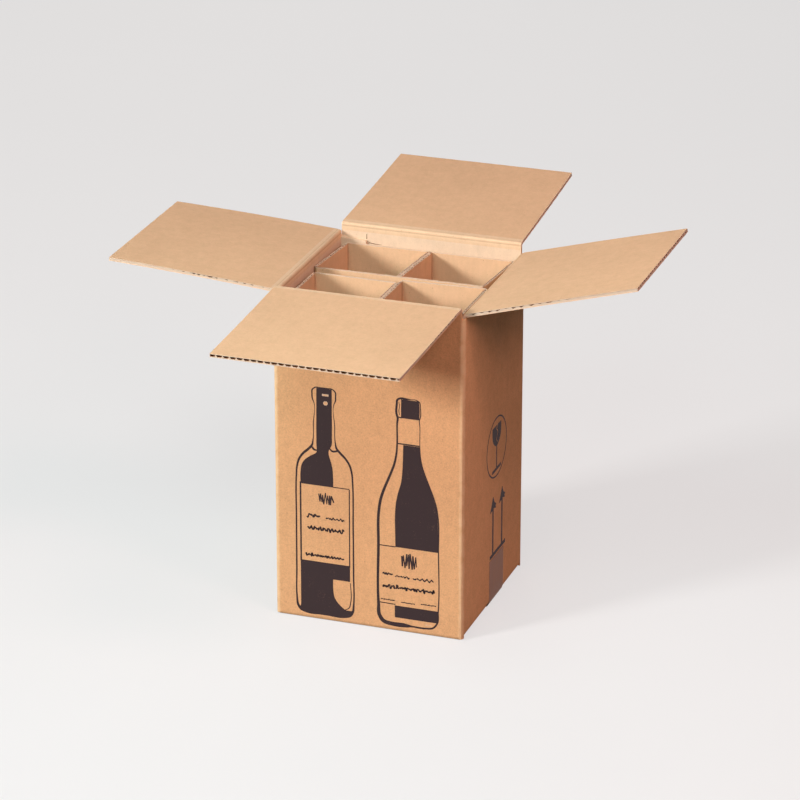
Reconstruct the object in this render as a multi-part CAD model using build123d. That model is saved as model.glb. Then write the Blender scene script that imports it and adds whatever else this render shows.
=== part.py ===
"""Corrugated shipping box for four bottles, stood open, with two folded inserts.

Frame: millimetres, +Z up, the origin at the middle of the face the box stands on.
+X is the right wall, -Y the front wall. The flaps are drawn as they stand open.
"""
from build123d import *
import math
import os

# Corrugated board: two flat liners with a wavy medium between them
board = 3.8
liner = 0.45
medium = 0.45
flute_pitch = 7.6
crushed_fold = 4.0

# Case: one scored and folded sheet, outside sizes
case_width = 218.0
case_depth = 212.0
fold_radius = 4.0
fold_facets = 3

# The four top creases. The flaps overlap fully, so each flap that closes later
# is scored a little higher than the one it lies on.
crease_right = 377.5
step_to_left = 2.2
step_to_front = 5.8
step_to_back = 3.0

# Top flaps, as wide as their walls between the corner slots
flap_reach = 194.0
slot_major = 3.6
slot_minor = 1.2
slot_depth = 1.5
taper_major = 1.5
taper_minor = 3.0
score_angle = 47.0
hinge_gap = 0.12
crushed_score = 9.0

# Angle of each open flap above level, in degrees
front_open_angle = -1.9
back_open_angle = 5.3
left_open_angle = 3.4
right_open_angle = 15.4

# Closed bottom: the side flaps lie on the front and back flaps. The upright corner
# folds reach down between the bottom folds to their own height.
ply_gap = 0.2
seam_gap = 1.0
corner_foot = 1.6

# Glued joint: a narrow tab of the left wall, inside the back wall
tab_width = 30.0
tab_bevel = 1.5
tab_clear = 0.6

# Inserts: each is one strip folded round two bottle cells, with a double divider.
# Their board is thinner. Together they fill the case, apart from this room round them.
insert_board = 3.0
insert_pitch = 6.4
side_room = 13.4
head_room = 7.1
back_room = 0.4
row_room = 2.4
front_room = 8.6
divider_slit = 0.3
divider_end_gap = 1.0

# The inserts stand loose in the case, so they lean a little to one side, and their
# back panels run askew
back_insert_x = 0.9
back_insert_lean = -7.1
back_left_rise = 2.4
back_right_rise = 0.6
front_insert_x = -0.8
front_insert_lean = -0.8
front_left_rise = -1.0
front_divider_step = 8.5
front_right_rise = 6.0

# Packing tape over the bottom seam and up both side walls
tape_width = 50.0
tape_thick = 0.2
tape_rise = 55.0
tape_offset = 12.0

# Sizes that follow from those above
inner_width = case_width - 2 * board
inner_depth = case_depth - 2 * board
crease_left = crease_right + step_to_left
crease_front = crease_left + step_to_front
crease_back = crease_front + step_to_back
corner_top = crease_right - slot_depth
major_span = case_width - 2 * slot_major
minor_span = inner_depth - 2 * slot_minor
side_base = board + ply_gap
wall_base = side_base + fold_radius
floor_height = side_base + board
insert_width = inner_width - side_room
insert_height = crease_right - head_room - floor_height
lean_at_tab = back_left_rise * tab_width / (insert_width / 2)
behind_tab = inner_depth / 2 - board - back_room - lean_at_tab
row_line = behind_tab + back_left_rise + back_right_rise - row_room
front_rise = front_left_rise + front_divider_step + front_right_rise
insert_depth = (row_line - front_rise - front_room + inner_depth / 2) / 2
front_row_corner = insert_depth + front_room - inner_depth / 2


def polygon(points):
    """Flat face inside a closed outline."""
    return make_face(Polyline(*points, close=True))


def arc_points(x, y, radius, start, end):
    """Corners of a fold's facets: points of an arc, both ends included."""
    turn = (end - start) / fold_facets
    angles = [math.radians(start + turn * step) for step in range(fold_facets + 1)]
    return [(x + radius * math.cos(a), y + radius * math.sin(a)) for a in angles]


def band_outline(path, thickness):
    """Outline of a folded strip, from its middle line, with mitred folds."""
    points = [Vector(x, y) for x, y in path]
    runs = [(b - a).normalized() for a, b in zip(points, points[1:])]
    normals = [Vector(-run.Y, run.X) for run in runs]
    offsets = [normals[0]]
    for before, after in zip(normals, normals[1:]):
        bisector = (before + after).normalized()
        offsets.append(bisector * (1 / bisector.dot(before)))
    offsets.append(normals[-1])
    half = thickness / 2
    one_side = [(p + n * half) for p, n in zip(points, offsets)]
    other_side = [(p - n * half) for p, n in zip(points, offsets)]
    return [(p.X, p.Y) for p in one_side + other_side[::-1]]


def flute_cells(start, end, thickness, pitch):
    """Cells of the medium between two points of a board's middle line.

    The medium runs straight from liner to liner, so each cell is a triangle, with
    its base on one liner and then on the other.
    """
    start = Vector(*start)
    end = Vector(*end)
    along = (end - start).normalized()
    across = Vector(-along.Y, along.X)
    half_pitch = pitch / 2
    half_base = half_pitch - medium
    base = thickness / 2 - liner
    tip = base - medium
    room = (end - start).length - 2 * half_base
    count = int(room / half_pitch) + 1
    first = ((end - start).length - (count - 1) * half_pitch) / 2
    cells = []
    for index in range(count):
        middle = start + along * (first + index * half_pitch)
        side = across if index % 2 else -across
        corners = [
            middle - along * half_base + side * base,
            middle + along * half_base + side * base,
            middle - side * tip,
        ]
        cells.append(polygon([(c.X, c.Y) for c in corners]))
    return cells


def on_side(shape, side):
    """Carry a shape drawn with the front wall's outer face at Y = 0 to any side."""
    turn = {"front": 0, "right": 90, "back": 180, "left": 270}[side]
    reach = (case_width if side in ("left", "right") else case_depth) / 2
    return Rot(0, 0, turn) * Pos(0, -reach, 0) * shape


def along_wall(section, span):
    """Carry a cross-section along the middle of a wall."""
    return extrude(Plane.YZ * polygon(section), amount=span / 2, both=True)


def add_wall_top(case, side, span, crease):
    """Raise one wall between its slots, bevelled on the inside for the score."""
    foot = corner_top - 2 * board
    bevel = board * math.tan(math.radians(score_angle))
    top = [(0, foot), (0, crease), (board, crease - bevel), (board, foot)]
    above = [(0, crease), (board, crease), (board, crease - bevel)]
    case -= on_side(along_wall(above, span + 2 * slot_minor), side)
    return case + on_side(along_wall(top, span), side)


def bottom_flap(span, base, reach):
    """One closed bottom flap with its fold and the foot of its wall."""
    head = wall_base + board
    section = arc_points(fold_radius, base + fold_radius, fold_radius, 180, 270)
    section += [(reach, base), (reach, base + board), (board, base + board)]
    section += [(board, head), (0, head)]
    return along_wall(section, span)


def glued_tab():
    """Tab inside the back wall, with bevelled ends, from the left corner."""
    left = -inner_width / 2
    right = left + tab_width
    head = crease_left - board - tab_clear
    foot = floor_height + tab_clear
    outline = [
        (left, foot),
        (left, head),
        (right, head - tab_bevel),
        (right, foot + tab_bevel),
    ]
    return extrude(Plane.XZ.offset(-inner_depth / 2) * polygon(outline), amount=board)


def make_case():
    """Four walls, the glued tab and the closed bottom, folded from one sheet."""
    x = case_width / 2 - fold_radius
    y = case_depth / 2 - fold_radius
    outline = arc_points(x, y, fold_radius, 0, 90)
    outline += arc_points(-x, y, fold_radius, 90, 180)
    outline += arc_points(-x, -y, fold_radius, 180, 270)
    outline += arc_points(x, -y, fold_radius, 270, 360)
    ring = polygon(outline) - Rectangle(inner_width, inner_depth)
    case = Pos(0, 0, wall_base) * extrude(ring, amount=corner_top - wall_base)
    corners = ring - Rectangle(major_span, case_depth) - Rectangle(case_width, minor_span)
    case += Pos(0, 0, corner_foot) * extrude(corners, amount=wall_base - corner_foot)

    case = add_wall_top(case, "front", major_span, crease_front)
    case = add_wall_top(case, "back", major_span, crease_back)
    case = add_wall_top(case, "left", minor_span, crease_left)
    case = add_wall_top(case, "right", minor_span, crease_right)

    outer_flap = bottom_flap(major_span, 0, (case_depth - seam_gap) / 2)
    inner_flap = bottom_flap(minor_span, side_base, case_depth / 2)
    case += on_side(outer_flap, "front")
    case += on_side(outer_flap, "back")
    case += on_side(inner_flap, "left")
    case += on_side(inner_flap, "right")
    case += glued_tab()

    tape_seat = Box(case_width, tape_width, 2 * tape_thick)
    return case - Pos(0, tape_offset, 0) * tape_seat


def make_flap(side, span, taper, crease, open_angle):
    """One top flap, with its score bevelled on the inside and its flutes open."""
    half = span / 2
    tip = half - taper
    plan = polygon([(-half, 0), (half, 0), (tip, -flap_reach), (-tip, -flap_reach)])
    flap = extrude(plan, amount=board)

    bevel = hinge_gap + board * math.tan(math.radians(score_angle))
    groove = [(-hinge_gap, 0), (-bevel, board), (board, board), (board, 0)]
    flap -= along_wall(groove, 2 * span)

    cells = flute_cells((-tip, board / 2), (tip, board / 2), board, flute_pitch)
    mouth = Plane.XZ.offset(flap_reach + board)
    run = flap_reach + board - crushed_score
    flap -= [extrude(mouth * cell, amount=-run) for cell in cells]
    return on_side(Pos(0, 0, crease) * Rot(-open_angle, 0, 0) * flap, side)


def insert_path(middle, lean, corner, left_rise, divider_step, right_rise):
    """Middle line of an insert's strip, from one divider ply round to the other.

    The corner is the back left one, on the outside. The rises say how much further
    back the back panels reach at the divider and at the right, and the lean says how
    far the front ends of the panels between them lie to the right of the back ends.
    """
    half = insert_board / 2
    ply = (insert_board + divider_slit) / 2
    side = insert_width / 2 - half
    front_middle = middle + lean
    y_left = corner - half
    y_left_ply = y_left + left_rise
    y_right_ply = y_left_ply + divider_step
    y_right = y_right_ply + right_rise
    run = insert_depth - insert_board
    end = (y_left + y_right) / 2 - run + half + divider_end_gap
    return [
        (front_middle - ply, end),
        (middle - ply, y_left_ply),
        (middle - side, y_left),
        (front_middle - side, y_left - run),
        (front_middle + side, y_right - run),
        (middle + side, y_right),
        (middle + ply, y_right_ply),
        (front_middle + ply, end),
    ]


def make_insert(path):
    """An insert: the folded strip, with upright flutes open at top and bottom."""
    plan = polygon(band_outline(path, insert_board))
    cells = []
    for start, end in zip(path, path[1:]):
        along = (Vector(*end) - Vector(*start)).normalized() * crushed_fold
        first = Vector(*start) + along
        last = Vector(*end) - along
        ends = (first.X, first.Y), (last.X, last.Y)
        cells += flute_cells(*ends, insert_board, insert_pitch)
    return Pos(0, 0, floor_height) * extrude(plan - cells, amount=insert_height)


def make_tape():
    """Tape down the right wall, under the seam and up the left wall."""
    facet = math.radians(45 / fold_facets)
    bend = fold_radius + tape_thick / 2 / math.cos(facet)
    corner = case_width / 2 - fold_radius
    half_path = [(corner + bend, tape_rise)]
    half_path += arc_points(corner, wall_base, bend, 0, -90)[:-1]
    half_path += [(major_span / 2 + tape_thick / 2, tape_thick / 2)]
    path = half_path + [(-x, z) for x, z in half_path[::-1]]
    section = Plane.XZ * polygon(band_outline(path, tape_thick))
    return Pos(0, tape_offset, 0) * extrude(section, amount=tape_width / 2, both=True)


def main():
    """Make every piece and write each to its own file."""
    back_path = insert_path(
        back_insert_x,
        back_insert_lean,
        behind_tab,
        back_left_rise,
        0,
        back_right_rise,
    )
    front_path = insert_path(
        front_insert_x,
        front_insert_lean,
        front_row_corner,
        front_left_rise,
        front_divider_step,
        front_right_rise,
    )
    pieces = {
        "case": make_case(),
        "flap_front": make_flap("front", major_span, taper_major, crease_front, front_open_angle),
        "flap_back": make_flap("back", major_span, taper_major, crease_back, back_open_angle),
        "flap_left": make_flap("left", minor_span, taper_minor, crease_left, left_open_angle),
        "flap_right": make_flap("right", minor_span, taper_minor, crease_right, right_open_angle),
        "insert_back": make_insert(back_path),
        "insert_front": make_insert(front_path),
        "bottom_tape": make_tape(),
    }
    os.makedirs("parts", exist_ok=True)
    for name, piece in pieces.items():
        piece.label = name
        export_step(piece, f"parts/{name}.step")


main()
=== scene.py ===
# %% [markdown]
# # A corrugated shipping box for four bottles
# The box stands open on a pale floor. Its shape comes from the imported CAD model, and
# this lesson dresses it: fluted board with raw edges, pressed creases, printed ink,
# tape, and the light of a small studio. Everything is in metres, in the model's frame.

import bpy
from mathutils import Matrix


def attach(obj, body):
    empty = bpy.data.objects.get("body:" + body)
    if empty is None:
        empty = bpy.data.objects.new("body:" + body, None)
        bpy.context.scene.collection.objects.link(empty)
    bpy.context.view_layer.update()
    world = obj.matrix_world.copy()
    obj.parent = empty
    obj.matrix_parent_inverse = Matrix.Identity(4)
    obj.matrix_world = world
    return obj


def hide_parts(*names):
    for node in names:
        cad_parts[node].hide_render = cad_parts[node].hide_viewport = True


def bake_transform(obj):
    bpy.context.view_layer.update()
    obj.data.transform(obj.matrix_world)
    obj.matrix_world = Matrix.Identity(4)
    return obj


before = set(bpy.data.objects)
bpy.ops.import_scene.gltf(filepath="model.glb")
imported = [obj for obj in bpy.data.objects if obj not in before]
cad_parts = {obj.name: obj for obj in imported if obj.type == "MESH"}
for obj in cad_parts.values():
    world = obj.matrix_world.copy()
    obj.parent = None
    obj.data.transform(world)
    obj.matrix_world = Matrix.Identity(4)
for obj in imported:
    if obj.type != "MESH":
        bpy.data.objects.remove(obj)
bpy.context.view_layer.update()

# %% [markdown]
# ## The camera
# The box was photographed as with a long lens, a little from the right and from above.
# A camera could be aimed by hand, but its place was worked out from the corners of the
# box instead, so that the edges fall close to where the photograph has them.

# %% Camera
import math

import bpy
import numpy as np

mm = 0.001
camera_place = (1.31308, -3.75807, 1.85277)
yaw, elevation = 0.33627, 0.38711
focal_pixels, picture_pixels, sensor_width = 3891.8, 800, 36.0
camera_data = bpy.data.cameras.new("camera")
camera_data.sensor_width = sensor_width
camera_data.lens = focal_pixels / picture_pixels * sensor_width
camera_data.clip_end = 100.0
camera = bpy.data.objects.new("camera", camera_data)
camera.location = camera_place
camera.rotation_euler = (math.pi / 2 - elevation, 0.0, yaw)
bpy.context.scene.collection.objects.link(camera)
bpy.context.scene.camera = camera
print("lens", round(camera_data.lens, 1), "mm")

# %% [markdown]
# ## Sizes of the board and of the box
# Corrugated board is two flat liners with a wavy medium between them. The inserts are
# of a thinner board than the case. These sizes are the ones that the CAD model has.

# %% Sizes
board = 3.8 * mm
liner = 0.45 * mm
medium = 0.35 * mm
pitch = 7.6 * mm
thin_board = 3.0 * mm
thin_pitch = 6.4 * mm
case_width, case_depth = 218 * mm, 212 * mm
inner_width, inner_depth = case_width - 2 * board, case_depth - 2 * board
floor_height = 7.8 * mm
insert_height = 362.6 * mm
flap_reach = 194 * mm
score_slope = math.tan(math.radians(47))


class Side:
    """One side of the box: its wall's place, its crease and its open top flap.

    The side faces turn degrees round from the front. Its outer face is reach metres
    from the middle, and its crease is crease millimetres high. The flap is span metres
    wide at the crease and taper millimetres narrower on each side at its free edge. It
    rises at lift degrees, and its middle stands bow millimetres up. The higher mouths
    is, the wider the dark mouths of the flutes are at its free edge.
    """

    def __init__(self, turn, reach, crease, span, taper, lift, mouths, bow):
        self.turn = math.radians(turn)
        self.reach = reach
        self.crease = crease * mm
        self.span = span
        self.taper = taper * mm
        self.lift = math.radians(lift)
        self.mouths = mouths
        self.bow = bow * mm


major_gap, minor_gap = 7.2 * mm, 2.4 * mm
major_span, minor_span = case_width - major_gap, inner_depth - minor_gap
sides = {
    "front": Side(0, case_depth / 2, 385.5, major_span, 1.5, -1.9, 7.0, -0.5),
    "right": Side(90, case_width / 2, 377.5, minor_span, 3.0, 15.4, 0.5, 0.4),
    "back": Side(180, case_depth / 2, 388.5, major_span, 1.5, 5.3, 7.0, -0.5),
    "left": Side(270, case_width / 2, 379.7, minor_span, 3.0, 3.4, 0.5, 0.8),
}
print({name: round(side.crease, 4) for name, side in sides.items()})

# %% [markdown]
# ## Arrays into meshes
# Every new piece is a surface worked out with numpy: a grid of points for its top and
# one for its bottom. A small helper closes the two into a thin shell, and another
# gathers shells into one mesh with foreach_set. A shell keeps a flat map of the sheet,
# in metres, so that a finish can follow the flutes, and a mark for cuts and folds.

# %% Shells from grids
def grid_quads(rows, columns, start=0):
    """Corner numbers of the quads of a grid whose points are stored row by row."""
    numbers = start + np.arange(rows * columns).reshape(rows, columns)
    quads = [numbers[:-1, :-1], numbers[:-1, 1:], numbers[1:, 1:], numbers[1:, :-1]]
    return np.stack([q.ravel() for q in quads], axis=1)


def border_numbers(rows, columns):
    """The grid's outer points in order, once round."""
    numbers = np.arange(rows * columns).reshape(rows, columns)
    return np.concatenate(
        [numbers[0, :-1], numbers[:-1, -1], numbers[-1, :0:-1], numbers[:0:-1, 0]]
    )


def shell(top, bottom, flat, finish=0, folds=0.0, cut_ways=(0, 1)):
    """A closed sheet between two grids of points, with the same flat map on both.

    The quads of the top keep their order, those of the bottom are turned round, and a
    strip of quads along the border joins the two. Its mark is 1 on the border, at the
    ends of each of the ways that are cut, and falls to -1 along folds.
    """
    rows, columns = top.shape[:2]
    count = rows * columns
    ring = border_numbers(rows, columns)
    following = np.roll(ring, -1)
    strip = np.stack([ring, ring + count, following + count, following], axis=1)
    quads = [grid_quads(rows, columns), grid_quads(rows, columns, count)[:, ::-1], strip]
    points = np.concatenate([top.reshape(-1, 3), bottom.reshape(-1, 3)])
    cut = np.zeros((rows, columns)) - folds
    for way in cut_ways:
        np.moveaxis(cut, way, 0)[[0, -1]] = 1
    return {
        "points": points,
        "quads": np.concatenate(quads),
        "flat": np.tile(flat.reshape(-1, 2), (2, 1)),
        "cut": np.tile(cut.ravel(), 2),
        "finish": finish,
    }


def outward(part):
    """Turn a shell's quads round if its volume comes out negative."""
    corners = part["points"][part["quads"]]
    first, second, third, fourth = (corners[:, i] for i in range(4))
    volume = np.einsum("ij,ij->", first, np.cross(second, third))
    volume += np.einsum("ij,ij->", first, np.cross(third, fourth))
    if volume < 0:
        part["quads"] = part["quads"][:, ::-1]
    return part


def make_piece(name, parts, finishes, body=None, smooth_angle=40):
    """One mesh object from shells, with its flat map, its cut marks and its finishes."""
    parts = [outward(part) for part in parts]
    starts = np.cumsum([0] + [len(part["points"]) for part in parts[:-1]])
    points = np.concatenate([part["points"] for part in parts])
    quads = np.concatenate([part["quads"] + s for part, s in zip(parts, starts)])
    flat = np.concatenate([part["flat"] for part in parts])
    mesh = bpy.data.meshes.new(name)
    mesh.vertices.add(len(points))
    mesh.vertices.foreach_set("co", points.astype(np.float32).ravel())
    mesh.loops.add(quads.size)
    mesh.loops.foreach_set("vertex_index", quads.astype(np.int32).ravel())
    mesh.polygons.add(len(quads))
    mesh.polygons.foreach_set("loop_start", np.arange(0, quads.size, 4, dtype=np.int32))
    index = np.concatenate([np.full(len(p["quads"]), p["finish"]) for p in parts])
    mesh.polygons.foreach_set("material_index", index.astype(np.int32))
    mesh.uv_layers.new(name="sheet").data.foreach_set("uv", flat[quads.ravel()].ravel())
    cut = mesh.attributes.new("cut", "FLOAT", "POINT")
    cut.data.foreach_set("value", np.concatenate([p["cut"] for p in parts]))
    mesh.update(calc_edges=True)
    mesh.validate()
    mesh.shade_smooth()
    mesh.set_sharp_from_angle(angle=math.radians(smooth_angle))
    for finish in finishes:
        mesh.materials.append(finish)
    piece = bpy.data.objects.new(name, mesh)
    bpy.context.scene.collection.objects.link(piece)
    if body:
        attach(piece, body)
    print(name, len(quads), "quads")
    return piece


# %% [markdown]
# ## Paths and natural unevenness
# Creases, inserts, tape and pen strokes are all profiles carried along a path, so they
# share two helpers. Paper is never quite straight: a ripple is a sum of a few sine waves
# whose lengths and phases come from a seeded draw, so that each run gives the same edges.

# %% Paths, ripples and smooth steps
def distance_along(points):
    """How far each point of a path is from its start."""
    gaps = np.linalg.norm(np.diff(points, axis=0), axis=1)
    return np.concatenate([[0], np.cumsum(gaps)])


def ways_along(points):
    """Steps of length 1 along a flat path, and the same turned a quarter to the left."""
    slope = np.gradient(points, axis=0)
    slope = slope / np.linalg.norm(slope, axis=1)[:, None]
    return slope, np.stack([-slope[:, 1], slope[:, 0]], axis=1)


def ripple(distance, size, length, seed):
    """Uneven offsets of about the given size, with waves round the given length."""
    draw = np.random.default_rng(seed)
    lengths = length * draw.uniform(0.35, 1.6, 6)
    phases = draw.uniform(0, 2 * math.pi, 6)
    waves = np.sin(2 * math.pi * distance[..., None] / lengths + phases)
    return size * waves.sum(axis=-1) / 3


def smooth_step(x, low, high):
    """0 below low, 1 above high, and an S-shaped curve between."""
    t = np.clip((x - low) / (high - low), 0, 1)
    return t * t * (3 - 2 * t)


def turned(side, x, y, z):
    """Carry points drawn for the front of the box round to any side of it."""
    c, s = math.cos(side.turn), math.sin(side.turn)
    return np.stack(np.broadcast_arrays(c * x - s * y, s * x + c * y, z), axis=-1)


# %% [markdown]
# ## Shader arithmetic
# A finish is a small network of nodes. Written as nodes it is hard to read, so a value
# here can be added and multiplied like a number, and each sign adds one Math node. All
# other nodes come from one method that takes the type, the settings and the sockets.

# %% Values and finishes
class Value:
    """A shader value. Arithmetic on it adds Math nodes to its finish."""

    def __init__(self, finish, socket):
        self.finish = finish
        self.socket = socket

    def math(self, operation, *others):
        sockets = dict(enumerate((self, *others)))
        return self.finish.node("ShaderNodeMath", {"operation": operation}, sockets)

    def __add__(self, other):
        return self.math("ADD", other)

    def __sub__(self, other):
        return self.math("SUBTRACT", other)

    def __rsub__(self, other):
        return (self * -1.0) + other

    def __mul__(self, other):
        return self.math("MULTIPLY", other)

    def __abs__(self):
        return self.math("ABSOLUTE")

    __radd__ = __add__
    __rmul__ = __mul__

    def step(self, low, high):
        """0 below low and 1 above high, or the other way round if low is the larger."""
        settings = {"interpolation_type": "SMOOTHSTEP"}
        if low > high:
            return 1.0 - self.step(high, low)
        return self.finish.node("ShaderNodeMapRange", settings, {0: self, 1: low, 2: high})


class Finish:
    """A material, or a world, under construction."""

    def __init__(self, name, kind="materials"):
        self.material = getattr(bpy.data, kind).new(name)
        self.material.use_nodes = True
        self.tree = self.material.node_tree
        self.tree.nodes.clear()

    def node(self, kind, settings=None, sockets=None, output=0):
        """Add a node of any type: first its settings, then its sockets' values or links."""
        made = self.tree.nodes.new(kind)
        for name, setting in (settings or {}).items():
            setattr(made, name, setting)
        for key, value in (sockets or {}).items():
            if isinstance(value, Value):
                self.tree.links.new(value.socket, made.inputs[key])
            else:
                made.inputs[key].default_value = value
        return Value(self, made.outputs[output]) if made.outputs else None

    def place(self):
        """Where a point of the piece is, in the model's frame."""
        return self.node("ShaderNodeTexCoord", output="Object")

    def sheet(self):
        """Where a point of the piece is on its flat map, in metres: two values and 0."""
        return self.split(self.node("ShaderNodeUVMap", {"uv_map": "sheet"}))

    def seen(self):
        """1 where the camera looks, straight or by way of a gleam, and 0 for light."""
        rays = self.node("ShaderNodeLightPath").socket.node.outputs
        straight, gleam, through = (
            Value(self, rays[f"Is {kind} Ray"]) for kind in ("Camera", "Glossy", "Transmission")
        )
        return straight.math("MAXIMUM", gleam).math("MAXIMUM", through)

    def split(self, vector):
        """The three parts of a vector."""
        first = self.node("ShaderNodeSeparateXYZ", sockets={0: vector})
        return [Value(self, socket) for socket in first.socket.node.outputs]

    def noise(self, vector, scale, detail=3.0, stretch=(1, 1, 1)):
        """Cloudy noise from 0 to 1, its clouds drawn out along an axis with a low stretch."""
        spread = self.node("ShaderNodeMapping", sockets={"Vector": vector, "Scale": stretch})
        return self.node(
            "ShaderNodeTexNoise",
            sockets={"Vector": spread, "Scale": scale, "Detail": detail},
        )

    def mix(self, factor, first, second, kind="MIX"):
        """A colour between two others."""
        settings = {"data_type": "RGBA", "blend_type": kind}
        return self.node("ShaderNodeMix", settings, {0: factor, 6: first, 7: second}, 2)

    def bump(self, height, distance, strength):
        """A normal from a height from 0 to 1, which stands for that distance."""
        return self.node(
            "ShaderNodeBump",
            sockets={"Height": height, "Distance": distance, "Strength": strength},
        )

    def surface(self, **sockets):
        """Close the network with a Principled surface, and give the material."""
        named = {name.replace("_", " "): value for name, value in sockets.items()}
        look = self.node("ShaderNodeBsdfPrincipled", sockets=named)
        self.node("ShaderNodeOutputMaterial", sockets={"Surface": look})
        return self.material


def colour(code):
    """A linear colour from the usual six-digit code."""
    parts = np.array([int(code[i : i + 2], 16) for i in (0, 2, 4)]) / 255
    linear = np.where(parts <= 0.04045, parts / 12.92, ((parts + 0.055) / 1.055) ** 2.4)
    return (*(float(v) for v in linear), 1.0)


# %% [markdown]
# ## Kraft board
# Kraft liner is brown paper: cloudy in tone, full of short fibres with a few dark
# flecks, and pressed onto flutes that show through as faint stripes. The cut edges are
# paler, because the knife opens the fibres. One recipe makes every board finish, and
# each piece tells it which way its flutes run.

# %% Board finish
outer_kraft = colour("DCA879")
inner_kraft = colour("D5AE89")
# The inner liner inside the case, painted paler than the same liner on the flaps: painted light.
lit_inner_kraft = colour("D9BEA2")
# A pale colour for the upright folds: a painted highlight of their rounded edge, with some
# rubbing.
fold_highlight_and_rub_colour = colour("F0CA9E")
raw_edge = colour("DCC4AC")
# Dark brown for folds and press lines: painted shade.
fold_shade_colour = colour("7A4A32")
dark_fleck = colour("8A5A34")


def board_finish(
    name, tone, stripe_of, mask_of=None, highlight_and_rub_of=None, wear=0.35, waves=pitch, coarse=1.0
):
    """Brown paper over flutes.

    stripe_of gives the distance across the flutes, in metres, from the finish. mask_of
    gives the inside of the case, where the same inner liner as on the flaps is painted
    paler, as painted light. The argument after it gives the outside of the upright
    folds, which are painted paler as a highlight of their rounded edge, with some
    rubbing. Both run from 0 to 1, or are left out. wear is how pale the cut edges are,
    and waves how far apart the flutes are. Coarse paper has a stronger grain, but the
    inner liner stays smooth.
    """
    finish = Finish(name)
    place = finish.place()
    cloud = finish.noise(place, 9.0, 2.0)
    mottle = finish.noise(place, 95.0, 4.0)
    grain = finish.noise(place, 620.0, 2.0)
    fibre = finish.noise(place, 260.0, 3.0, (1.0, 1.0, 0.22))
    fleck = finish.noise(place, 900.0, 1.0, (1.0, 1.0, 0.4)).step(0.70, 0.78)
    stripe = (stripe_of(finish) * (2 * math.pi / waves)).math("COSINE")
    tone_now = tone
    if mask_of:
        # Inside the case the inner liner is painted paler, as painted light, and its grain is
        # smoother.
        inside = mask_of(finish)
        tone_now = finish.mix(inside, tone, lit_inner_kraft)
        coarse = coarse - inside * (coarse - 1.0)
    shade = (cloud - 0.5) * 0.16 + (mottle - 0.5) * 0.16 + (fibre - 0.5) * 0.12
    shade = shade + (grain - 0.5) * (coarse * 0.14) + stripe * 0.004 + 1.0
    grey = finish.node("ShaderNodeCombineXYZ", sockets={0: shade, 1: shade, 2: shade})
    paper = finish.mix(1.0, tone_now, grey, "MULTIPLY")
    paper = finish.mix(fleck * 0.35, paper, dark_fleck)
    cut = finish.node("ShaderNodeAttribute", {"attribute_name": "cut"}, output="Fac")
    raw = (cut * 1.4 + (grain - 0.5) * 0.9).step(0.45, 1.0)
    paper = finish.mix(raw * wear, paper, raw_edge)
    # Where the cut mark falls below 0, along folds and press lines, the paper is painted darker as
    # shade.
    fold_shade = (cut * -1.0).step(0.15, 0.9)
    paper = finish.mix(fold_shade * 0.6, paper, fold_shade_colour)
    if highlight_and_rub_of:
        # The upright folds are painted paler: a painted highlight of their rounded edge, with some
        # rubbing.
        highlight_and_rub = (highlight_and_rub_of(finish) + (mottle - 0.5) * 1.2).step(0.4, 1.2)
        paper = finish.mix(highlight_and_rub * 0.7, paper, fold_highlight_and_rub_colour)
    height = stripe * 0.08 + (mottle - 0.5) * 0.5 + (fibre - 0.5) * 0.5 + (grain - 0.5) * 0.35
    return finish.surface(
        Base_Color=paper,
        Roughness=0.78 - (mottle - 0.5) * 0.25,
        Specular_IOR_Level=0.1,
        Normal=finish.bump(height, 0.22 * mm, 0.8),
    )


def across_sheet(finish):
    """Distance across the flutes, from a piece's own flat map."""
    return finish.sheet()[0]


def across_walls(finish):
    """Distance across upright flutes: along Y on walls that face X, along X on the rest."""
    x, y, _ = finish.split(finish.place())
    facing = finish.split(finish.node("ShaderNodeTexCoord", output="Normal"))
    sideways = abs(facing[0]).math("GREATER_THAN", 0.7)
    return y * sideways + x * (1.0 - sideways)


def inside_case(finish):
    """1 on faces inside the case, where the inner liner shows, and 0 outside."""
    # This mask marks where the inner liner is painted paler, as painted light.
    x, y, z = finish.split(finish.place())
    slack = 0.4 * mm
    deep_x = abs(x).math("LESS_THAN", inner_width / 2 + slack)
    deep_y = abs(y).math("LESS_THAN", inner_depth / 2 + slack)
    return deep_x * deep_y * z.math("GREATER_THAN", board / 2)


def fold_highlight_and_rub(finish):
    """1 on the outside of the four upright folds, fading over a few millimetres."""
    # This mask places the painted highlight, with some rubbing, down the upright folds.
    x, y, _ = finish.split(finish.place())
    corner = (case_width + case_depth) / 2
    return (abs(x) + abs(y)).step(corner - 8.0 * mm, corner - 3.0 * mm)


case_finish = board_finish(
    "case_kraft", outer_kraft, across_walls, inside_case, fold_highlight_and_rub, coarse=3.2
)
outer_finish = board_finish("outer_liner", outer_kraft, across_sheet, wear=0.7)
inner_finish = board_finish("inner_liner", inner_kraft, across_sheet, wear=0.7)
# A paler liner for the creases: a painted highlight on their shoulders.
crease_highlight_finish = board_finish("crease_highlight_liner", colour("D8B896"), across_sheet, wear=0.7)
# The medium is painted a darker brown than the liners, partly as its own paper and partly as
# painted shade inside the flutes.
medium_finish = board_finish("fluted_medium", colour("7C5238"), across_sheet, wear=0.8)
insert_finish = board_finish(
    "insert_liner", inner_kraft, across_sheet, wear=0.7, waves=thin_pitch
)
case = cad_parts["case"]
case.data.materials.clear()
case.data.materials.append(case_finish)
print("board finishes", len(bpy.data.materials))

# %% [markdown]
# ## The top flaps
# Each flap is a board of its own: outer liner, medium and inner liner, open at the free
# edge and closed at the crease. A flat slab would do from afar, but the open edge is
# what shows the flutes, so a sine wave carried along the flap makes the medium. The
# liners are grids with a few close rows at the rim, so that the cut edge can fade.

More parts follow.
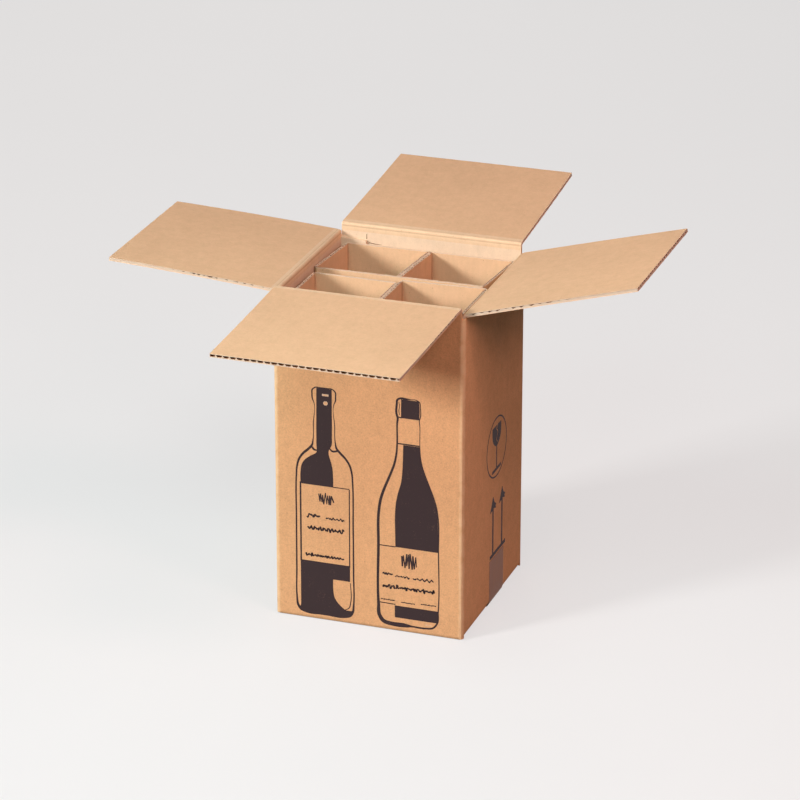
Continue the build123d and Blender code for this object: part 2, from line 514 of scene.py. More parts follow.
# %% Flap boards
def rim_steps(count, rim):
    """Numbers from 0 to 1: even steps, with one close step of the given share at each end."""
    return np.concatenate([[0.0], np.linspace(rim, 1 - rim, count), [1.0]])


def flap_points(side, across, along, up):
    """Points of a flap: across it, out from its crease, and up from its outer face.

    The flap is bowed a little, as a half sine wave along it, and tilted at its crease.
    Flaps that close over others bow outwards, so that they clear them.
    """
    bow = side.bow * np.sin(math.pi * np.clip(along / flap_reach, 0, 1))
    up = up + bow
    out = along * math.cos(side.lift) - up * math.sin(side.lift)
    rise = along * math.sin(side.lift) + up * math.cos(side.lift)
    return turned(side, across, -(side.reach + out), side.crease + rise)


def flap_layer(side, seed, low, high, columns, rows, finish, wave=0.0):
    """One layer of a flap's board, between two heights above its outer face.

    A wave moves both heights up and down with the flutes. The layer starts on the
    bevel of the crease, which leans back with height, and ends at the free edge, where
    the knife has pressed the lower half of each flute shut. It has shut both side edges
    too, but they stay ragged towards the crease.
    """
    clear, end_waver, side_waver, tear = 0.12 * mm, 0.18 * mm, 0.15 * mm, 1.9 * mm
    share, step = np.meshgrid(columns * 2 - 1, rows, indexing="ij")
    end = flap_reach + ripple(share * side.span / 2, end_waver, 23 * mm, seed)
    mouth = (step > 0.99) * (wave > 0)
    rim = (np.abs(share) > 0.995) * (wave > 0)

    def sheet(height, waves):
        start = clear + np.maximum(height + wave * waves, 0) * score_slope
        along = start + step * (end - start)
        half = side.span / 2 - side.taper * along / flap_reach
        half = half + ripple(along, side_waver, 19 * mm, seed + 7)
        across = share * half
        crest = (1 + np.sin(2 * math.pi * across / pitch)) / 2
        flute = waves * wave * (2 * np.where(mouth, crest**side.mouths, crest) - 1)
        return flap_points(side, across, along, height + flute), across, along

    ragged = smooth_step(ripple(step * flap_reach, 1.0, 7 * mm, seed + 9), -0.1, 0.5)
    ragged = ragged * (1 - smooth_step(step, 0.4, 0.7)) * tear
    top, across, along = sheet(np.where(rim, board - liner - ragged, high), 1 - rim)
    bottom, _, _ = sheet(np.where(mouth | rim, liner, low), 1 - (mouth | rim))
    return shell(top, bottom, np.stack([across, along], axis=-1), finish)


def flap_board(name, side, seed):
    """A whole flap: two liners and the medium between them."""
    rim, points_per_flute = 0.6 * mm, 12
    columns, rows = rim_steps(60, rim / side.span), rim_steps(34, rim / flap_reach)
    medium_columns = np.linspace(0.002, 0.998, int(side.span / pitch * points_per_flute))
    medium_rows = rim_steps(64, 0.004)
    middle = board / 2
    wave = middle - liner - medium / 2
    low, high = middle - medium / 2, middle + medium / 2
    layers = [
        flap_layer(side, seed, 0, liner, columns, rows, 0),
        flap_layer(side, seed + 1, board - liner, board, columns, rows, 1),
        flap_layer(side, seed + 2, low, high, medium_columns, medium_rows, 2, wave),
    ]
    finishes = [outer_finish, inner_finish, medium_finish]
    piece = make_piece(f"{name}_flap_board", layers, finishes, f"flap_{name}")
    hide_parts(f"flap_{name}")


for number, (name, side) in enumerate(sides.items()):
    flap_board(name, side, seed=10 + 20 * number)

# %% [markdown]
# ## The creases
# Where a flap folds outwards, its inner liner is pulled over the pressed score and
# makes a rounded shoulder with two faint press lines, which are painted darker as
# shade in their grooves. It crosses the hinge, where one stiff mesh would tear, so it
# is a strip of its own. All but the right one are painted paler, as a highlight on
# the shoulder.

# %% Crease shoulders
wall_share, flap_share = 0.46, 0.54
press_lines = (0.14, 0.86)


def rounded_section(t, foot, head, along_flap):
    """A conic from foot to head, pulled hard towards the corner of the inner faces."""
    corner = head + along_flap * (foot[0] - head[0]) / along_flap[0]
    inside = np.clip(t, 0, 1)[:, None]
    shares = np.hstack([(1 - inside) ** 2, 6 * inside * (1 - inside), inside**2])
    return shares / shares.sum(axis=1)[:, None] @ np.array([foot, corner, head])


def flat_section(t, foot, head, along_flap):
    """Straight up the wall's face, over a chamfer at t 0.5, and out along the flap's."""
    short, past = 0.25 * mm, 0.3 * mm
    wall_end = np.array([foot[0], -short])
    flap_end = head + along_flap * (past - head[0]) / along_flap[0]
    up = np.clip(t / wall_share, 0, 1)[:, None]
    out = np.clip((t - flap_share) / (1 - flap_share), 0, 1)[:, None]
    wall, flap = foot + up * (wall_end - foot), flap_end + out * (head - flap_end)
    return np.where(t[:, None] < 0.5, wall, flap)


def shoulder(name, side, seed, liner_look):
    """A strip over one crease, from the wall's inner face to the flap's.

    Its cross-section runs from the wall's bevel edge to the flap's, with a short tail
    on each face and two hollows pressed into it. Towards the hinge it shrinks to a
    core, so that it fills the score. A flap that closes by more than half a turn has
    the flat section, whose two halves each follow one side of the crease. The two ends
    of a blend across the crease are worked out, steeper for such a flap, but nothing
    uses them.
    """
    bevel, tail, press_depth, waver = board * score_slope, 4.5 * mm, 0.34 * mm, 0.10 * mm
    share = rim_steps(90, 0.003) * 2 - 1
    wall_half, flap_half = np.linspace(0, wall_share, 12), np.linspace(flap_share, 1, 12)
    t = np.concatenate([[-0.32], wall_half, flap_half, [1.32]])
    c, s = math.cos(side.lift), math.sin(side.lift)
    foot = np.array([-board, -bevel])
    head = np.array([c * bevel - s * board, s * bevel + c * board])
    along_flap = np.array([c, s])
    half_turn = side.lift < 0
    section_of = flat_section if half_turn else rounded_section
    curve = section_of(t, foot, head, along_flap)
    curve = curve + np.minimum(t, 0)[:, None] * tail * np.array([0.0, 1.0])
    curve = curve + np.maximum(t - 1, 0)[:, None] * tail * along_flap
    _, normal = ways_along(curve)
    pressed = sum(np.exp(-(((t - line) / 0.05) ** 2)) for line in press_lines)
    across, place = np.meshgrid(share, t, indexing="ij")
    across = across * side.span / 2
    uneven = ripple(across + place * 3 * mm, waver, 14 * mm, seed)
    proud = 0.05 * mm - pressed * press_depth + uneven * np.clip(place * (1 - place) * 4, 0, 1)
    ring = curve[None] + normal[None] * proud[..., None]
    core = ring * 0.14

    def points(section):
        return turned(side, across, -(side.reach + section[..., 0]), side.crease + section[..., 1])

    flat = np.stack([across, place * 10 * mm], axis=-1)
    # The press lines get a negative cut mark, so the finish paints them darker as shade in their
    # grooves.
    part = shell(points(ring), points(core), flat, 0, (pressed * 0.55)[None], (0,))
    piece = make_piece(f"{name}_crease", [part], [liner_look], smooth_angle=60)
    blend_width = 0.02 if half_turn else 1.0
    middle = len(share) // 2 - 1
    start, end = (
        points(np.broadcast_to(p * blend_width, across.shape + (2,)))[middle, 0].tolist()
        for p in (foot, head)
    )
    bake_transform(piece)


for number, (name, side) in enumerate(sides.items()):
    # All creases but the right one are painted paler, as a highlight on the shoulder.
    look = inner_finish if name == "right" else crease_highlight_finish
    shoulder(name, side, 200 + number, look)

# %% [markdown]
# ## The inserts
# Each insert is one strip of board folded round two bottle cells, with its two ends
# laid together as the divider. Seven panels could stand side by side, but the real one
# is a strip, so it is a profile along a path seen from above: the folds are small arcs
# where the board is pressed thinner, and the medium is a sine wave across the path. Its
# flutes stand upright, so they show at the top edge, half of each pressed shut by the
# knife. The folds are painted darker, as shade in their corners.

# %% Insert boards
def rounded_path(corners, radius, step):
    """Points, travelled distance and left-hand normals along a path with round corners."""
    corners = np.array(corners)
    runs = np.diff(corners, axis=0)
    lengths = np.linalg.norm(runs, axis=1)
    ways = runs / lengths[:, None]
    pieces = []
    for index, (start, way, length) in enumerate(zip(corners, ways, lengths)):
        first = 0 if index == 0 else radius
        last = length if index == len(runs) - 1 else length - radius
        count = max(int((last - first) / step), 2)
        pieces.append(start + way * np.linspace(first, last, count)[:, None])
        if index < len(runs) - 1:
            t = np.linspace(0, 1, 9)[1:-1, None]
            corner = corners[index + 1]
            before, after = corner - way * radius, corner + ways[index + 1] * radius
            bend = (1 - t) ** 2 * before + 2 * t * (1 - t) * corner + t**2 * after
            pieces.append(bend)
    points = np.concatenate(pieces)
    return points, distance_along(points), ways_along(points)[1]


def insert_board(name, corners, seed):
    """An insert: its strip's two liners and the medium, standing on the case's floor."""
    corners = np.array(corners) * mm
    points, travel, normals = rounded_path(corners, 3.0 * mm, 0.65 * mm)
    folds = distance_along(corners)[1:-1]
    shorter_per_fold = 1.1 * mm
    folds = folds - np.arange(len(folds)) * shorter_per_fold
    near = np.abs(travel[:, None] - folds).min(axis=1)
    thin = 1 - 0.45 * np.exp(-((near / (2.6 * mm)) ** 2))
    # Near each fold the board is painted darker, as shade in the fold's corner.
    fold_shade = np.exp(-((near / (1.0 * mm)) ** 2))[:, None]
    rows = rim_steps(8, 0.8 * mm / insert_height)
    top_edge = ripple(travel, 0.22 * mm, 17 * mm, seed)
    half = thin_board / 2

    def layer(low, high, finish, wave, lower):
        """A sheet between two offsets from the path, its top lower than the height."""
        flute = wave * np.sin(2 * math.pi * travel / thin_pitch)
        grids = []
        for offset in (high, low):
            line = points + normals * ((offset + flute) * thin)[:, None]
            xy = np.repeat(line[:, None], len(rows), axis=1)
            if wave and offset == low:
                xy[:, -2:] = (points + normals * ((liner - half) * thin)[:, None])[:, None]
            z = floor_height + rows * (insert_height - lower)
            z = z[None] + top_edge[:, None] * rows**8
            grids.append(np.concatenate([xy, z[..., None]], axis=-1))
        flat = np.stack(np.meshgrid(travel, rows * insert_height, indexing="ij"), axis=-1)
        return shell(grids[0], grids[1], flat, finish, fold_shade)

    wave = half - liner - medium / 2
    layers = [
        layer(half - liner, half, 0, 0, 0),
        layer(-half, -half + liner, 1, 0, 0),
        layer(-medium / 2, medium / 2, 2, wave, 0.25 * mm),
    ]
    finishes = [insert_finish, insert_finish, medium_finish]
    piece = make_piece(f"{name}_board", layers, finishes, "case")
    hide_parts(name)


def insert_corners(middle, lean, corner, left_rise, divider_step, right_rise):
    """Corners of an insert's path, in millimetres, from one divider ply round to the other.

    The middle is that of the divider. The corner is the back left one. The rises take
    the back panels further back, and the lean takes the front ends of the panels
    between them to the right. half is half the board, ply and side are how far the
    divider's plies and the outer panels stand from the middle, and depth is the
    insert's from back to front.
    """
    half, ply, side, depth = 1.5, 1.65, 97.0, 88.98
    divider_gap = 1.0
    front_middle = middle + lean
    y_left = corner - half
    y_left_ply = y_left + left_rise
    y_right_ply = y_left_ply + divider_step
    y_right = y_right_ply + right_rise
    run = depth - 2 * half
    end = (y_left + y_right) / 2 - run + half + divider_gap
    return [
        (front_middle - ply, end),
        (middle - ply, y_left_ply),
        (middle - side, y_left),
        (front_middle - side, y_left - run),
        (front_middle + side, y_right - run),
        (middle + side, y_right),
        (middle + ply, y_right_ply),
        (front_middle + ply, end),
    ]


insert_board("insert_back", insert_corners(0.9, -7.1, 97.27, 2.4, 0.0, 0.6), 300)
insert_board("insert_front", insert_corners(-0.8, -0.8, -4.62, -1.0, 8.5, 6.0), 310)

# %% [markdown]
# ## The tape
# One strip of brown tape closes the bottom seam and runs a little way up both side
# walls. A plain ribbon along a path would do, but its cutter leaves a zigzag at both
# ends and it wrinkles on the walls, so the ribbon is a grid with those two added.

# %% Packing tape
def tape_finish():
    """Shiny brown film, slightly streaky along its run."""
    finish = Finish("brown_tape")
    width = finish.sheet()[1]
    streak = finish.noise(finish.place(), 160.0, 3.0, (0.3, 1.0, 0.3))
    cloud = finish.noise(finish.place(), 35.0, 2.0)
    paper = finish.mix(streak, colour("744528"), colour("8F5C38"))
    rim = abs(width).step(22 * mm, 25 * mm)
    paper = finish.mix(rim * 0.4, paper, colour("9A6A42"))
    height = streak * 0.4 + cloud * 0.6
    return finish.surface(
        Base_Color=paper,
        Roughness=0.42 + streak * 0.16,
        Specular_IOR_Level=0.25,
        Normal=finish.bump(height, 0.25 * mm, 0.5),
    )


def packing_tape():
    """A ribbon down the right wall, along the bottom seam and up the left wall.

    Its run is a path seen from the front: straight down the wall, a bend of 90 degrees
    round the fold, and flat under the box, then the same again on the other side. The
    zigzag is a saw wave that shifts the ends along the run.
    """
    rise, fold, offset, width, film = 55 * mm, 4.1 * mm, 12 * mm, 50 * mm, 0.1 * mm
    bend_top, tooth_size, tooth_pitch = 8 * mm, 1.3 * mm, 2.4 * mm
    flat_end = case_width / 2 - 4 * mm
    arc = np.linspace(0, math.pi / 2, 9)
    bend_x = flat_end + fold * np.cos(arc)
    bend_z = bend_top - np.minimum(fold * np.sin(arc) * 1.95, bend_top - film)
    down_z = np.linspace(rise, bend_top, 40)[:-1]
    half_x = np.concatenate([np.full(len(down_z), flat_end + fold), bend_x])
    half_z = np.concatenate([down_z, bend_z])
    under = np.linspace(flat_end, -flat_end, 60)[1:-1]
    x = np.concatenate([half_x, under, -half_x[::-1]])
    z = np.concatenate([half_z, np.full(len(under), film), half_z[::-1]])
    path = np.stack([x, z], axis=1)
    travel, (slope, _) = distance_along(path), ways_along(path)
    share = np.linspace(-1, 1, 81)
    run, across = np.meshgrid(travel, share * width / 2, indexing="ij")
    tooth = tooth_size * np.abs((across / tooth_pitch) % 1 - 0.5)
    end = np.minimum(run, travel[-1] - run)
    shift = tooth * (1 - smooth_step(end, 0, 3 * mm)) * np.sign(run - travel[-1] / 2)
    px = x[:, None] - shift * slope[:, :1]
    pz = z[:, None] - shift * slope[:, 1:]
    wrinkle = np.abs(ripple(across + 0.3 * run, 0.05 * mm, 9 * mm, 401))
    on_wall = smooth_step(pz, bend_top, 2 * bend_top)
    push = (0.12 * mm + wrinkle * on_wall) * np.sign(px)
    y, thick = offset + across, film * (1 - on_wall)
    top = np.stack([px + push * on_wall, y, pz - thick], axis=-1)
    bottom = np.stack([px - film * np.sign(px), y, pz + thick], axis=-1)
    flat = np.stack([run, across], axis=-1)
    piece = make_piece("packing_tape_strip", [shell(top, bottom, flat)], [tape_finish()], "case")
    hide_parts("bottom_tape")


packing_tape()

# %% [markdown]
# ## Printed ink
# The box is printed in one dark brown: two bottles on the front and back, and handling
# marks on the other walls. An image could carry them, but ink shapes made as very thin
# sheets stay sharp from any distance. They are fields between two edges, given height
# by height, and strokes that follow a smooth path. The bottles are drawn from scratch.

# %% Ink shapes
def curve_through(points, step=1.3):
    """Evenly spaced points of a smooth line through some points.

    Between two points it is the cubic whose slopes come from their neighbours. Any
    further columns, such as a stroke's width, run along in the same way.
    """
    points = np.array(points, float)
    travel = distance_along(points[:, :2])
    gaps = np.diff(travel)
    slopes = np.gradient(points, travel, axis=0)
    at = np.linspace(0, travel[-1], max(int(travel[-1] / step), 3) + 1)
    index = np.clip(np.searchsorted(travel, at, side="right") - 1, 0, len(gaps) - 1)
    gap = gaps[index][:, None]
    t = ((at - travel[index]) / gaps[index])[:, None]
    first, second = points[index], points[index + 1]
    leave, arrive = slopes[index] * gap, slopes[index + 1] * gap
    return (
        (2 * t**3 - 3 * t**2 + 1) * first
        + (t**3 - 2 * t**2 + t) * leave
        + (3 * t**2 - 2 * t**3) * second
        + (t**3 - t**2) * arrive
    )


def stroke(points, step=1.3):
    """A line of ink through points of (across, height, width), in millimetres."""
    line = curve_through(points, step)
    _, side_way = ways_along(line[:, :2])
    half = np.maximum(line[:, 2:3], 0.25) / 2
    share = np.array([-1.0, 0.0, 1.0])[None, :, None]
    return line[:, None, :2] + side_way[:, None] * half[:, None] * share


def field(middle, edges):
    """A field of ink from rows of (height, left, right) about a middle line, in millimetres."""
    edges = np.array(edges, float) + np.array([0, middle, middle])
    line = curve_through(np.stack([edges[:, 0], edges[:, 0] * 0, edges[:, 1], edges[:, 2]], 1))
    height, left, right = line[:, 0], line[:, 2], np.maximum(line[:, 3], line[:, 2] + 0.1)
    share = np.linspace(0, 1, 5)
    across = left[:, None] + (right - left)[:, None] * share
    return np.stack(np.broadcast_arrays(across, height[:, None]), axis=-1)


def scribble(left, right, height, size, width, seed, waves=5.0):
    """A wavy pen line that stands for writing without being any."""
    across = np.linspace(left, right, int((right - left) * 1.4))
    up = height + ripple(across, size, waves, seed)
    thick = width * (1 + ripple(across, 0.35, waves * 0.7, seed + 1))
    return stroke(np.stack([across, up, thick], axis=1), 0.5)


def print_piece(name, side, shapes, finish, first=0, inside=False):
    """Shapes on one wall, or on its inner face. Each lies a hair prouder than the last.

    first is the number of the first shape, for a print that lies over another one.
    """
    ink, hair, root = 0.035 * mm, 0.0012 * mm, 0.05 * mm
    face = side.reach - board if inside else side.reach
    way = -1 if inside else 1
    parts = []
    for number, shape in enumerate(shapes, first):
        across, height = shape[..., 0] * mm, shape[..., 1] * mm
        top = turned(side, across, -(face + way * (ink + hair * number)), height)
        bottom = turned(side, across, -(face - way * root), height)
        parts.append(shell(top, bottom, shape * mm))
    make_piece(name, parts, [finish], "case")


def ink_finish():
    """Dark brown ink, thinner over the valleys between flutes and on rough fibres."""
    finish = Finish("brown_ink")
    place = finish.place()
    stripe = (finish.sheet()[0] * (2 * math.pi / pitch)).math("COSINE")
    grain = finish.noise(place, 700.0, 2.0)
    mottle = finish.noise(place, 90.0, 3.0)
    thin = (grain * 0.8 + (mottle - 0.5) * 0.5 + stripe * 0.025).step(0.50, 0.74)
    paint = finish.mix(thin * 0.30, colour("352829"), colour("76564A"))
    height = (grain - 0.5) * 0.5 + (mottle - 0.5) * 0.4
    return finish.surface(
        Base_Color=paint,
        Roughness=0.7 - thin * 0.1,
        Specular_IOR_Level=0.2,
        Normal=finish.bump(height, 0.15 * mm, 0.6),
    )


# %% [markdown]
# ### Two bottles
# One is high-shouldered and one slopes, as the two common kinds of wine bottle do. An
# outline is half a profile mirrored, the wine is a field with a bare gleam beside it,
# and the labels carry pen waves in place of words.

# %% The bottle drawings
def bottle_outline(middle, profile, weight=(1.0, 1.0)):
    """A closed line round a bottle, from its half profile of (height, half width, weight).

    The pen can press harder on the left side or on the right.
    """
    profile = np.array(profile, float)
    right = np.stack([middle + profile[:, 1], profile[:, 0], profile[:, 2] * weight[1]], 1)
    left = np.stack([middle - profile[:, 1], profile[:, 0], profile[:, 2] * weight[0]], 1)
    return stroke(np.concatenate([right, left[::-1], right[:1]]), 1.0)


def straight(x1, z1, x2, z2, width):
    """A straight line of ink between two points."""
    return stroke([(x1, z1, width), (x2, z2, width)], 6.0)


def scratches(middle, height, size, count, seed):
    """A crest: quick upright pen strokes, up and down without lifting the pen."""
    draw = np.random.default_rng(seed)
    across = np.linspace(-1, 1, 2 * count) * 8.6 + draw.uniform(-0.9, 0.9, 2 * count)
    up = np.where(np.arange(2 * count) % 2, -size, size) * draw.uniform(0.55, 1.1, 2 * count)
    width = draw.uniform(1.0, 1.9, 2 * count)
    ends = np.stack([middle + across, height + up, width], axis=1)
    return [straight(*a[:2], *b[:2], a[2]) for a, b in zip(ends, ends[1:])]


def tall_bottle(m):
    """The high-shouldered bottle round the middle line m, and its gleams.

    Its wine is on the left, and the bare glass is on the right.
    """
    profile = [
        (8.6, 4, 4.2), (8.7, 22, 4.2), (11.0, 29.2, 3.6), (16.0, 32.4, 2.8), (23, 33.2, 2.2),
        (60, 33.3, 1.9), (120, 33.1, 1.8), (170, 32.7, 1.9), (182, 31.8, 2.1),
        (191, 29.2, 2.4), (198, 24.6, 2.6), (204, 18.4, 2.8), (209, 14.2, 2.4),
        (216, 12.8, 1.3), (235, 12.3, 1.1), (261, 12.0, 1.1), (263.5, 13.1, 1.5),
        (269, 13.6, 1.6), (274.5, 13.2, 1.6), (277.3, 10, 1.4), (277.6, 3, 1.3),
    ]
    upper_wine = [
        (162, -28.0, 10.2), (176, -27.8, 10.1), (185, -26.2, 9.4), (191, -22.6, 8.0),
        (196, -16.4, 6.4), (200.5, -9.6, 5.2), (205, -8.8, 5.4), (211, -9.0, 8.4),
        (222, -9.0, 9.0), (250, -8.8, 9.2), (277.0, -8.6, 9.2),
    ]
    lower_wine = [
        (12, -28.6, 28.0), (16.4, -28.6, 23.6), (20.5, -28.6, 18.4), (24.5, -28.6, 14.4),
        (30, -28.6, 11), (38, -28.6, 9.6), (54, -28.6, 9.4),
    ]
    shapes = [
        field(m, upper_wine),
        stroke([(m - 14.6, 207.5, 2.0), (m - 11.4, 204.0, 2.4), (m - 8.6, 203.6, 1.6)]),
        stroke([(m + 5.0, 209.0, 1.4), (m + 9.6, 204.8, 2.2), (m + 15.2, 205.8, 2.0)]),
        field(m, [(51.6, -28.6, 29.2), (60, -28.6, 29.2), (70.6, -28.6, 29.2)]),
        field(m, [(8.2, -24, 24), (10.4, -28, 28), (16.4, -29, 31)]),
        field(m, lower_wine),
        bottle_outline(m, profile),
        straight(m - 28.0, 69, m - 28.0, 164, 1.9),
        straight(m + 28.8, 69, m + 28.8, 162, 1.3),
        straight(m + 10, 162.4, m + 28.8, 162.4, 1.1),
        stroke([
            (m + 29.6, 50, 0.9), (m + 30.0, 28, 1.1), (m + 27.6, 19.5, 1.2), (m + 22, 16, 1.0),
        ]),
    ]
    shapes += scratches(m + 1.2, 147.5, 6.4, 7, 531)
    shapes += [
        scribble(m - 20.5, m - 6.0, 125.4, 2.1, 1.9, 501, 3.6),
        scribble(m + 1.5, m + 23.0, 124.2, 1.2, 1.4, 503, 4.4),
        scribble(m - 20.0, m + 22.5, 110.4, 2.0, 1.9, 505, 3.4),
        scribble(m - 22.5, m + 22.0, 77.8, 1.4, 1.7, 507, 3.4),
    ]
    gleams = [
        straight(m - 2.0, 269.6, m + 5.4, 269.6, 2.4),
        field(m, [(257.8, 0.6, 3.2), (260.2, -0.9, 4.7), (262.4, 0.4, 3.4)]),
    ]
    return shapes, gleams


def sloping_bottle(m):
    """The sloping bottle round the middle line m, and its gleam. Its wine is on the right."""
    profile = [
        (8.8, 4, 3.0), (8.8, 20, 3.0), (10.6, 28.6, 3.0), (16.8, 33.4, 2.8), (31, 34.6, 2.2),
        (102, 34.6, 2.0), (143, 34.0, 2.0), (155, 32.2, 2.0), (166, 29.0, 1.9),
        (177, 24.8, 1.8), (188, 20.4, 1.7), (200, 16.2, 1.6), (212, 13.8, 1.4),
        (226, 12.9, 1.2), (248, 12.9, 1.3), (255, 12.4, 1.6), (258, 13.4, 1.6),
        (270, 13.4, 1.5), (275.5, 12.6, 1.5), (277.6, 9, 1.4), (277.6, 3, 1.3),
    ]
    wine = [
        (101.8, -15.0, 34.4), (119, -15.3, 34.2), (139, -15.5, 33.6), (154, -14.4, 32.0),
        (166, -12.1, 28.9), (178.7, -8.6, 23.8), (194, -6.9, 17.8), (210, -6.3, 13.6),
        (223.6, -6.0, 12.6),
    ]
    shapes = [
        field(m, wine),
        field(m, [(254.8, -8.6, 12.0), (262, -8.5, 12.6), (276.6, -8.4, 12.0)]),
        field(m, [(17.0, -15.6, 33.0), (20, -15.7, 34.0), (31.4, -15.8, 34.4)]),
        bottle_outline(m, profile, (1.6, 0.7)),
        straight(m - 34.6, 101.8, m - 15, 101.8, 1.2),
        straight(m - 34.6, 33.0, m - 15, 32.6, 1.1),
        straight(m - 13.4, 224.6, m + 12.6, 224.6, 1.5),
        stroke([(m - 13.0, 255.8, 1.2), (m - 8, 255.0, 1.6)]),
        stroke([
            (m - 10.2, 258, 0.7), (m - 11.0, 263, 0.9), (m - 10.2, 268, 0.7), (m - 11, 273, 0.7),
        ]),
    ]
    shapes += scratches(m + 0.6, 86.5, 8.6, 7, 541)
    shapes += [
        scribble(m - 30.0, m - 18.0, 68.4, 1.7, 1.7, 511, 3.6),
        scribble(m - 15.5, m + 1.0, 67.0, 0.9, 1.2, 513, 4.4),
        scribble(m + 5.5, m + 29.0, 66.6, 1.3, 1.4, 515, 3.8),
        scribble(m - 30.0, m + 30.5, 53.4, 1.9, 1.8, 517, 3.6),
        scribble(m - 32.0, m - 15.5, 37.2, 0.3, 1.1, 519),
        scribble(m - 8.5, m + 7.5, 36.2, 0.3, 1.1, 521),
        scribble(m + 14.5, m + 32.0, 37.4, 0.3, 1.1, 523),
    ]
    return shapes, [straight(m + 20.0, 13.0, m + 27.0, 12.8, 1.4)]


brown_ink = ink_finish()
tall_shapes, tall_gleams = tall_bottle(-50.8)
sloping_shapes, sloping_gleams = sloping_bottle(46.2)
bottles = tall_shapes + sloping_shapes
gleams = tall_gleams + sloping_gleams
for name in ("front", "back"):
    print_piece(f"{name}_print", sides[name], bottles, brown_ink)
    print_piece(f"{name}_gleams", sides[name], gleams, outer_finish, len(bottles))

# %% [markdown]
# ### Handling marks
# Two arrows on a bar say which way is up, and a glass in a ring says to take care.
# They are the common signs, without words.

# %% The marks on the side walls
def up_arrow(middle, low, high):
    """One arrow: a shaft and a pointed head with hollow flanks."""
    neck = high - 14
    head = [
        (neck - 2.6, -10.6, -9.6), (neck + 0.4, -8.8, 8.8), (neck + 6, -5.2, 5.2),
        (high, -0.8, 0.8),
    ]
    return [
        field(middle, [(low, -2.4, 2.4), (neck + 3, -2.4, 2.4)]),
        field(middle, head),
        field(middle, [(neck - 2.6, 9.6, 10.6), (neck + 0.4, 0, 8.8)]),
    ]


def care_glass(m, centre, radius):
    """A stemmed glass with a crack, in a thin ring."""
    turns = np.linspace(0, 2 * math.pi, 49)
    ring = [m + radius * np.sin(turns), centre + radius * np.cos(turns), 1.9 + 0 * turns]
    bowl, lip, foot = centre + 1, centre + 26, centre - 26.4
    left_half = [
        (bowl, -2.0, 1.6), (bowl + 3, -7.5, 2.2), (bowl + 9, -13.4, -1.4),
        (bowl + 16, -15.6, 3.0), (bowl + 21, -15.8, -1.4), (lip, -15.4, 1.6),
    ]
    right_half = [
        (bowl + 0.6, 1.0, 4.0), (bowl + 4, 2.8, 9.4), (bowl + 9, -0.4, 13.6),
        (bowl + 16, 4.4, 15.4), (bowl + 21, 0.6, 15.6), (lip, 4.0, 15.2),
    ]
    return [
        stroke(np.stack(ring, axis=1)),
        field(m, left_half),
        field(m, right_half),
        field(m, [(foot, -1.6, 1.6), (bowl + 2, -1.6, 1.6)]),
        field(m, [(foot - 1.9, -15.5, 15.5), (foot + 1.9, -15.5, 15.5)]),
    ]


marks = up_arrow(-1.2, 60, 129) + up_arrow(31.0, 60, 129)
marks.append(field(0, [(56.0, -11.5, 44.0), (60.6, -11.5, 44.0)]))
marks += care_glass(9.8, 185.3, 34.8)
for name in ("right", "left"):
    print_piece(f"{name}_marks", sides[name], marks, brown_ink)

# %% [markdown]
# ### Painted shadow beside the glued tab
# Inside the back wall, painted shadow marks the glued tab's side edge and its top
# edge. Both are dark strokes as thin as the print.

# %% Painted shadow at the glued tab
def tab_shadow_finish():
    """Dark brown painted shadow along the glued tab's edges."""
    finish = Finish("tab_edge_shadow")
    grain = finish.noise(finish.place(), 700.0, 2.0)
    return finish.surface(
        Base_Color=finish.mix(grain, colour("4A2E20"), colour("7A5038")),
        Roughness=0.9,
        Specular_IOR_Level=0.1,
    )


tab_edge = 75.6
tab_shadow_strokes = [
    stroke([(tab_edge, 375.0, 0.9), (tab_edge, 381.0, 0.6)]),
    stroke([(73.0, 371.2, 0.4), (69.0, 370.4, 0.8), (65.0, 370.0, 0.7), (58.0, 370.0, 0.3)]),
]
print_piece("back_wall_tab_shadows", sides["back"], tab_shadow_strokes, tab_shadow_finish(), inside=True)

# %% [markdown]
# ## The floor
# The floor is a wide pale sheet. More light would make it white, but would wash out the
# box, so the sheet glows to the eye alone. To light it is grey, which also keeps the
# shade under the flaps deep.

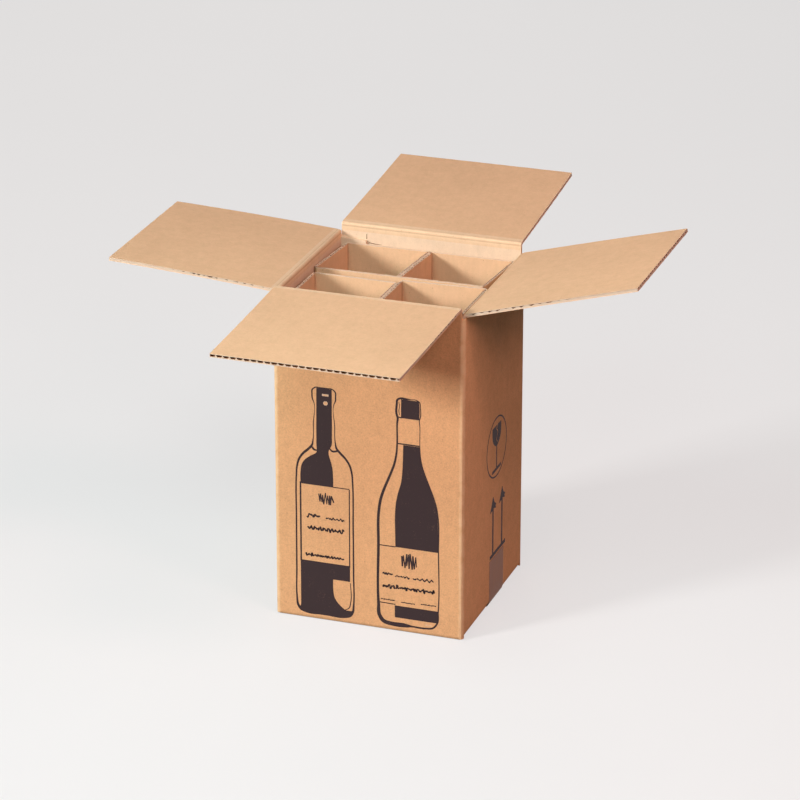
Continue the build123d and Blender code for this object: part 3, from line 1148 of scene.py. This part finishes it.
# %% Floor
def flat_floor():
    """A square sheet a hair below height 0, worked out as a grid of two by two points.

    To the eye it comes out nearly white and still holds the box's shadow. To light it
    is plain grey, so that it throws little back up.
    """
    reach, gap, thick = 14.0, 0.2 * mm, 20 * mm
    x, y = np.meshgrid([-reach, reach], [-reach, reach], indexing="ij")
    top = np.stack([x, y, np.full_like(x, -gap)], axis=-1)
    bottom = top - np.array([0, 0, thick])
    finish = Finish("pale_floor")
    cloud = finish.noise(finish.place(), 3.0)
    pale = finish.mix(cloud, (0.235, 0.232, 0.228, 1), (0.255, 0.252, 0.248, 1))
    seen = finish.seen()
    look = finish.surface(
        Base_Color=finish.mix(seen, (0.2, 0.2, 0.2, 1), pale),
        Roughness=0.9,
        Specular_IOR_Level=0.0,
        Emission_Color=finish.mix(seen, (0, 0, 0, 1), (1, 1, 1, 1)),
        Emission_Strength=0.62,
    )
    floor = make_piece("floor", [shell(top, bottom, top[..., :2])], [look])


flat_floor()

# %% [markdown]
# ## The light
# A soft lamp from the front left gives the walls their form, and one above the front
# brightens the flaps. Two warm ones from the right stand for the reddish light in the
# shaded wall, and a faint one comes from behind. A bright world would do without lamps,
# but everything would look flat, so it adds almost nothing and is white to the camera.

# %% Lamps and world
def soft_lamp(name, place, aim, size, power, tint=(1, 1, 1)):
    """A square lamp at a place, turned towards a point."""
    data = bpy.data.lights.new(name, "AREA")
    data.size = size
    data.energy = power
    data.color = tint
    lamp = bpy.data.objects.new(name, data)
    lamp.location = place
    way = np.array(aim) - np.array(place)
    flat = math.hypot(way[0], way[1])
    lamp.rotation_euler = (math.atan2(flat, -way[2]), 0, math.atan2(-way[0], way[1]))
    bpy.context.scene.collection.objects.link(lamp)
    print(name, power, "W")


cool, warm, mild = (0.68, 1.0, 1.0), (1.0, 0.62, 0.58), (1.0, 0.9, 0.85)
middle = (0, 0, 0.25)
soft_lamp("key_lamp", (-2.75, -3.2, 1.75), (0, 0, 0.2), 0.8, 200)
soft_lamp("near_lamp", (-0.1, -0.75, 1.2), (0, -0.2, 0.38), 0.5, 6.4, cool)
soft_lamp("side_lamp", (2.6, -1.5, 2.2), middle, 0.8, 34, warm)
soft_lamp("high_lamp", (1.5, -0.9, 2.7), middle, 0.8, 28, warm)
soft_lamp("back_lamp", (-1.2, 2.8, 1.7), middle, 1.2, 13, mild)
studio = Finish("studio", "worlds")
bpy.context.scene.world = studio.material
fill = studio.node("ShaderNodeBackground", sockets={0: (1.0, 0.8, 0.72, 1), 1: 0.02})
white = studio.node("ShaderNodeBackground", sockets={0: (1, 1, 1, 1), 1: 1.0})
choice = studio.node("ShaderNodeMixShader", sockets={0: studio.seen(), 1: fill, 2: white})
studio.node("ShaderNodeOutputWorld", sockets={0: choice})
bpy.context.scene.view_settings.view_transform = "Standard"
